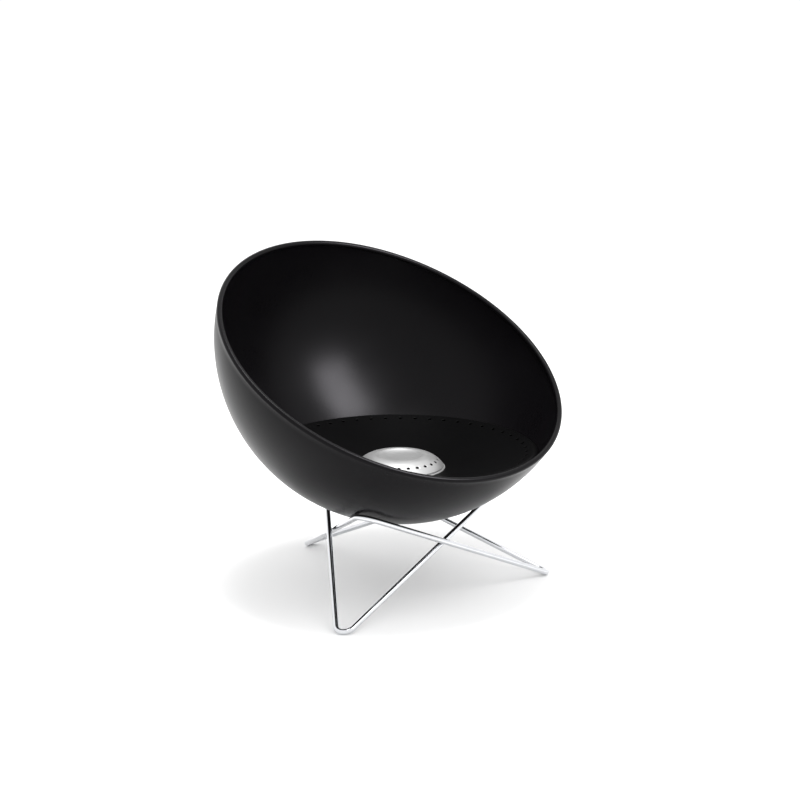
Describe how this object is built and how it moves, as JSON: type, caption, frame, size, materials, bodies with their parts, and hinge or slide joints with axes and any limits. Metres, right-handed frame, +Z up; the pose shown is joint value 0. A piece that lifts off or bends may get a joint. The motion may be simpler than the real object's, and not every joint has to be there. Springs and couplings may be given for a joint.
{
  "type": "globe fire bowl",
  "caption": "Tilted round fire bowl with a rolled rim, a dished plate and a vented air cap inside, resting loosely on a zigzag rod stand.",
  "frame": {"origin": "on the floor, at the middle of the footprint's bounding box", "axes": "+Z up; -Y is the way the bowl's opening faces; +X is on the right for someone who looks into the opening from the front"},
  "size_m": [0.647, 0.5839, 0.5929],
  "materials": {
    "bowl_enamel": "satin black enamel",
    "plate_enamel": "satin black enamel",
    "cap_steel": "fine brushed stainless steel",
    "stand_steel": "polished round bar"
  },
  "bodies": {
    "stand": {"stand_rod_left": "stand_steel", "stand_rod_right": "stand_steel", "stand_rod_back": "stand_steel"},
    "bowl": {"bowl": "bowl_enamel"},
    "plate": {"fire_plate": "plate_enamel"},
    "cap": {"air_cap": "cap_steel"}
  },
  "joints": [
    {"name": "bowl_turn", "type": "hinge", "parent": "stand", "child": "bowl", "pos_m": [0, -0.03278, 0.45049], "axis": [0, 0, 1], "continuous": true},
    {"name": "plate_lift", "type": "slide", "parent": "bowl", "child": "plate", "axis": [0, 0, 1], "range_m": [0, 0.42]},
    {"name": "cap_lift", "type": "slide", "parent": "plate", "child": "cap", "axis": [0, 0, 1], "range_m": [0, 0.42]}
  ]
}
